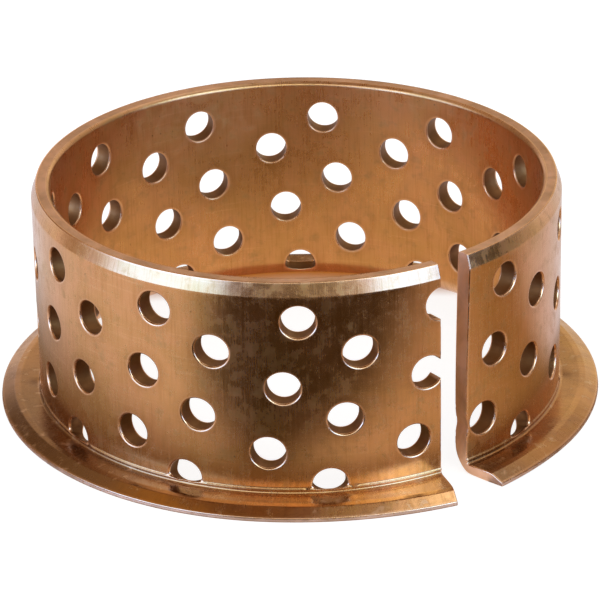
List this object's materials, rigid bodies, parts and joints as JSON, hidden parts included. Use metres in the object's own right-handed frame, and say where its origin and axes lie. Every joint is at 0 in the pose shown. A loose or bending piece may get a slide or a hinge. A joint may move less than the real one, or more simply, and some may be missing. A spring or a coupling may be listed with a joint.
{
  "type": "split flanged bushing",
  "caption": "Split flanged bronze sleeve bushing with a pierced wall that holds grease round a turning shaft.",
  "frame": {"origin": "on the bore's axis, in the plane of the flange's underside", "axes": "+Z along the bore from the flange to the open end, -Y out through the split"},
  "size_m": [0.0804, 0.0808, 0.0305],
  "materials": {
    "bronze": "satin"
  },
  "bodies": {
    "root": {"bushing": "bronze"}
  },
  "joints": []
}
